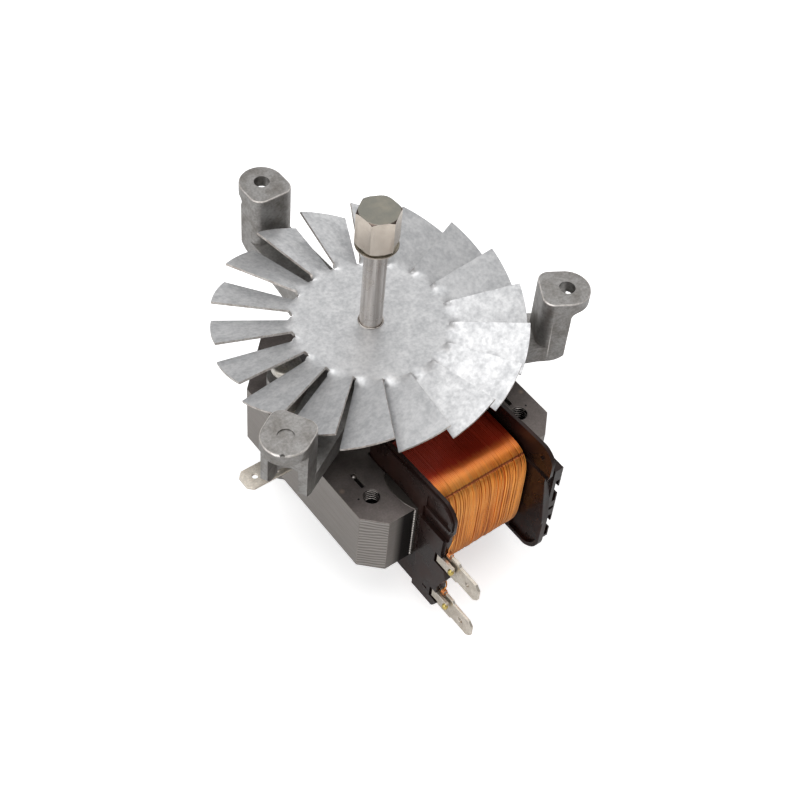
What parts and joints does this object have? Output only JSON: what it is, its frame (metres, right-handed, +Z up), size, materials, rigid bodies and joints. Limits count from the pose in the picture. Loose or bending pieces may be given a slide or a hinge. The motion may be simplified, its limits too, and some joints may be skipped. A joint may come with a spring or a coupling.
{
  "type": "oven fan motor",
  "caption": "Shaded-pole motor with a C-shaped steel stack, one coil, tab terminals, a three-post cast bracket and a bladed cooling fan below a long threaded shaft with a cap nut.",
  "frame": {"origin": "on the shaft axis, in the plane of the three post tops that bear on the oven's rear wall", "axes": "+Z up the shaft toward its cap nut, away from the stack; X along the coil; the coil and the tab terminals are on the -Y side"},
  "size_m": [0.0996, 0.1248, 0.0936],
  "materials": {
    "lamination": "oiled, cut edges of stacked sheet",
    "bobbin_plastic": "dark brown moulding",
    "enamelled_wire": "clear enamel over copper",
    "copper": "bare copper",
    "tinned_tab": "tinned",
    "casting": "die-cast, tumbled",
    "bearing_bronze": "sintered, oiled",
    "felt": "oiled felt",
    "spring_steel": "plain",
    "plated_steel": "zinc plated",
    "ground_steel": "ground",
    "cage_aluminium": "cast",
    "spacer_plastic": "plain",
    "galvanised_sheet": "galvanised, mottled",
    "plated_brass": "dull plated"
  },
  "bodies": {
    "stator": {"stator_stack": "lamination", "coil_core": "lamination", "bobbin": "bobbin_plastic", "coil": "enamelled_wire", "terminal_upper": "tinned_tab", "terminal_lower": "tinned_tab", "shading_ring_left": "copper", "shading_ring_right": "copper", "front_bracket": "casting", "rear_bracket": "casting", "front_bearing": "bearing_bronze", "rear_bearing": "bearing_bronze", "front_felt": "felt", "rear_felt": "felt", "front_retainer": "spring_steel", "rear_retainer": "spring_steel", "bracket_screws": "plated_steel", "bracket_nuts": "plated_steel", "earth_tab": "tinned_tab"},
    "rotor": {"shaft": "ground_steel", "rotor_core": "lamination", "rotor_cage": "cage_aluminium", "front_spacer": "spacer_plastic", "rear_spacer": "spacer_plastic", "front_thrust_washer": "spacer_plastic", "rear_thrust_washer": "spacer_plastic", "cooling_fan": "galvanised_sheet", "fan_collar": "plated_steel", "cap_nut": "plated_brass", "shaft_clip": "spring_steel"}
  },
  "joints": [
    {"name": "rotor_spin", "type": "hinge", "parent": "stator", "child": "rotor", "pos_m": [0, 0, 0], "axis": [0, 0, 1], "continuous": true}
  ]
}
